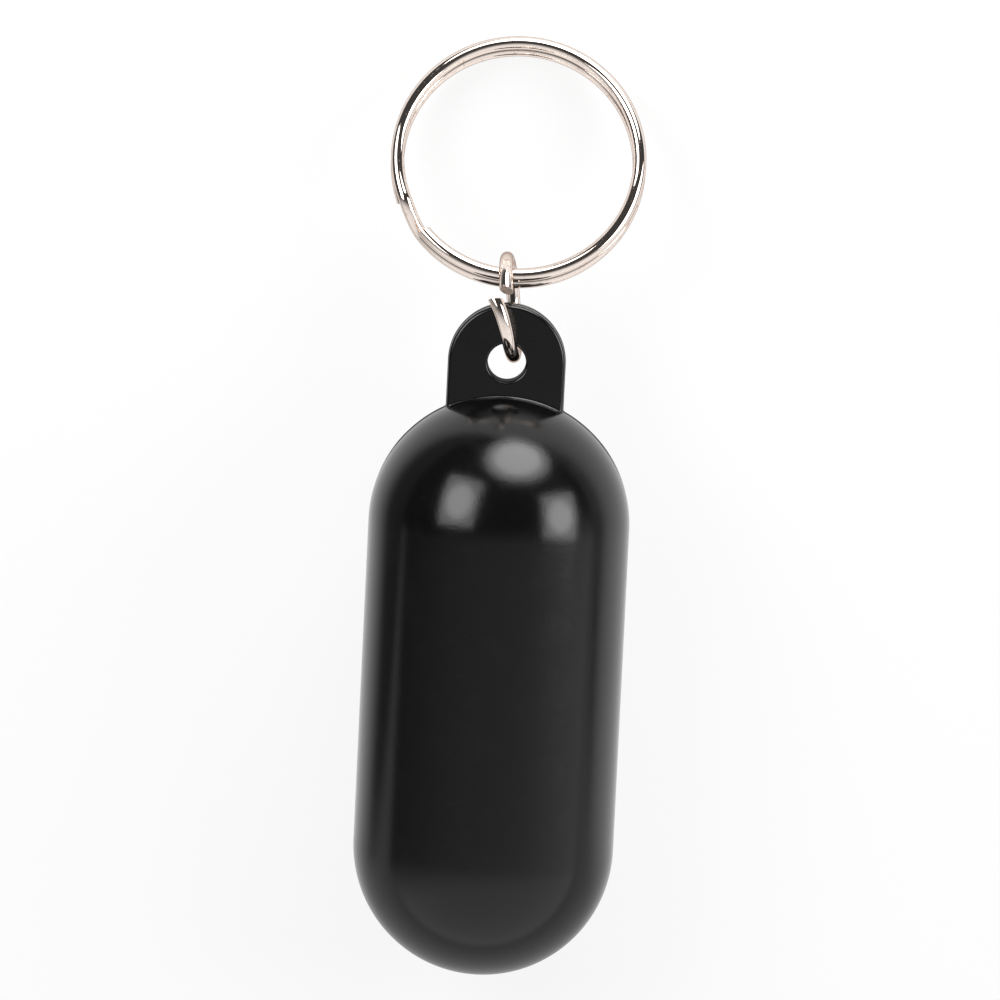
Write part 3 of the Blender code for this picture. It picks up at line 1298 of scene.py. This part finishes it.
@dataclass
class Studio:
    """The paper, the lamps, the room's dim light and the camera."""

    look_from: float = math.radians(9.0)
    roll: float = math.radians(2.80)
    distance: float = 1.2
    pixels_per_mm: float = 9.127
    picture_width: int = 1000
    dome_pixel: tuple[float, float] = (498.9, 524.0)
    lamp_distance: float = 0.6
    middle_share: float = 0.68
    middle_forward: float = 0.02
    sensor: float = 36.0
    clip_start: float = 0.05
    clip_end: float = 20.0
    dark_level: float = 0.05
    bright_level: float = 0.82
    bright_to_right: float = 0.06
    bright_aside: float = 0.18
    edge_to_right: float = 0.3
    edge_width: float = 0.7
    soft_level: float = 0.05
    paper_half: float = 3.0
    boxes: tuple[SoftBox, ...] = (
        SoftBox("top_soft_box", (0.240, 0.846, 0.477), (0.57, 0.48), 0.0, 3.25, 4.9,
                LampShape.ELLIPSE),
        SoftBox("left_soft_box", (-0.563, 0.325, 0.760), (0.36, 0.45), 7.0, 3.1, 3.65,
                LampShape.RECTANGLE),
        SoftBox("right_soft_box", (0.822, 0.102, 0.560), (0.35, 0.385), 0.0, 3.35, 3.9,
                LampShape.RECTANGLE),
    )

    @property
    def axes(self) -> Matrix:
        """The camera's right, up and backward directions as columns."""
        back = Vector((0.0, math.sin(self.look_from), math.cos(self.look_from)))
        up = Vector((0.0, math.cos(self.look_from), -math.sin(self.look_from)))
        right = Vector((1.0, 0.0, 0.0))
        turned_right = right * math.cos(self.roll) + up * math.sin(self.roll)
        turned_up = up * math.cos(self.roll) - right * math.sin(self.roll)
        return Matrix((turned_right, turned_up, back)).transposed()

    def build_camera(self, float_body: Float) -> None:
        """Aim the camera so that the tab end's dome falls where the picture has it.

        Args:
            float_body: The float that the camera looks at.
        """
        axes = self.axes
        half = self.picture_width / 2
        right_mm = (half - self.dome_pixel[0]) / self.pixels_per_mm
        up_mm = (self.dome_pixel[1] - half) / self.pixels_per_mm
        dome = Vector((0.0, float_body.tab_dome_y, float_body.radius))
        target = dome + axes @ Vector((right_mm * MM, up_mm * MM, 0.0))
        data = bpy.data.cameras.new("picture_camera")
        data.sensor_fit = "HORIZONTAL"
        data.sensor_width = self.sensor
        data.lens = (self.sensor * self.distance * self.pixels_per_mm
                     / (self.picture_width * MM))
        data.clip_start = self.clip_start
        data.clip_end = self.clip_end
        place = Matrix.Translation(target + axes @ Vector((0.0, 0.0, self.distance)))
        bpy.context.scene.camera = add_object("picture_camera", data,
                                              place @ axes.to_4x4())
        LOG.info("camera: %.0f mm lens", data.lens)

    def hang_lamp(
        self, name: str, place: Matrix, shape: LampShape, width: float, height: float,
        brightness: float,
    ) -> None:
        """Hang one even area lamp.

        Args:
            name: The lamp's name.
            place: Its place, with its back along +Z.
            shape: Its outline.
            width: Its width.
            height: Its height.
            brightness: Its radiance, where 1 shows as white.
        """
        data = bpy.data.lights.new(name, "AREA")
        data.shape = shape.value
        data.size = width
        data.size_y = height
        share = math.pi / 4 if shape is LampShape.ELLIPSE else 1.0
        # An even lamp of radiance L sends out pi * L for each square metre.
        data.energy = math.pi * brightness * width * height * share
        add_object(name, data, place)
        LOG.info("%s: %.1f W", name, data.energy)

    def build_lamps(self, float_body: Float) -> None:
        """Hang the soft boxes round the camera, each with a brighter middle.

        Args:
            float_body: The float that the lamps point at.
        """
        axes = self.axes
        centre = Vector((0.0, float_body.tab_dome_y, float_body.radius))
        for box in self.boxes:
            way = (axes @ Vector(box.direction)).normalized()
            up = axes @ Vector((0.0, 1.0, 0.0))
            side = up.cross(way).normalized()
            turn = Matrix((side, way.cross(side), way)).transposed().to_4x4()
            turn = turn @ Matrix.Rotation(-math.radians(box.lean_degrees), 4, "Z")
            place = Matrix.Translation(centre + way * self.lamp_distance) @ turn
            width, height = box.size
            self.hang_lamp(box.name, place, box.shape, width, height, box.brightness)
            # Lamps don't hide each other, so the middle adds to the box behind it.
            nearer = Matrix.Translation(way * -self.middle_forward)
            self.hang_lamp(box.name + "_middle", nearer @ place, LampShape.ELLIPSE,
                           width * self.middle_share, height * self.middle_share,
                           box.middle_brightness)

    def build_room(self) -> None:
        """Light the room: dark round the camera and above it, pale to the plain end."""
        world = bpy.data.worlds.new("studio_room")
        bpy.context.scene.world = world
        nodes = Nodes(world)
        way = nodes.add_node("TexCoord").outputs["Generated"]
        right, top, camera = (
            nodes.add_node("VectorMath", {0: way, 1: axis},
                           operation="DOT_PRODUCT").outputs["Value"]
            for axis in self.axes.col)

        # The pale part starts below the camera's level, and higher up to the right.
        ahead = nodes.compute("MULTIPLY", camera, self.edge_to_right)
        turned_away = nodes.compute("SUBTRACT", self.edge_to_right, ahead)
        only_right = nodes.compute("MAXIMUM", right, 0.0)
        shifted = nodes.compute("MULTIPLY", only_right, turned_away)
        edge = nodes.compute("SUBTRACT", shifted, top)
        pale = nodes.ramp(edge, 0.0, self.edge_width)

        aside = nodes.compute("MULTIPLY_ADD", camera, -self.bright_aside,
                              self.bright_level + self.bright_aside)
        wall = nodes.compute("MULTIPLY_ADD", right, self.bright_to_right, aside)
        room = nodes.mix(pale, self.dark_level, wall)

        path = nodes.add_node("LightPath").outputs
        level = nodes.mix(path["Is Glossy Ray"], self.soft_level, room)
        seen = nodes.mix(path["Is Camera Ray"], level, 1.0)
        light = nodes.add_node("Background", {"Color": WHITE, "Strength": seen})
        nodes.add_node("OutputWorld", {"Surface": light.outputs[0]})

    def build_paper(self, material: bpy.types.Material) -> None:
        """Lay the paper under the keychain.

        Args:
            material: The paper.
        """
        bm = bmesh.new()
        bmesh.ops.create_grid(bm, x_segments=1, y_segments=1, size=self.paper_half)
        add_mesh(bm, "paper_sweep", [material])


def main() -> None:
    """Build the keychain's pieces and its studio."""
    logging.basicConfig(level=logging.INFO, format="%(name)s %(message)s")
    bpy.context.scene.view_settings.view_transform = "Standard"

    plastic = MouldedPolyethylene().build()
    # The eye sees the hole's wall as plain black, so it is taken as matt.
    hole_wall = MouldedPolyethylene(
        name="black_polyethylene_matt_wall", specular_level=0.04, roughness_low=0.5,
        roughness_high=0.6).build()
    jump_plate = BrightNickelPlate("bright_nickel_on_jump_ring_wire").build()
    split_plate = BrightNickelPlate("bright_nickel_on_split_ring_wire").build()

    float_body = Float()
    float_body.build(plastic, hole_wall)
    link = Link(float_body)
    steel = ShearedSteel().build()
    JumpRing(link).build(jump_plate, steel)
    SplitRing(link).build(split_plate, steel)

    studio = Studio()
    studio.build_paper(PalePaper().build())
    studio.build_room()
    studio.build_lamps(float_body)
    studio.build_camera(float_body)


if __name__ == "__main__":
    main()
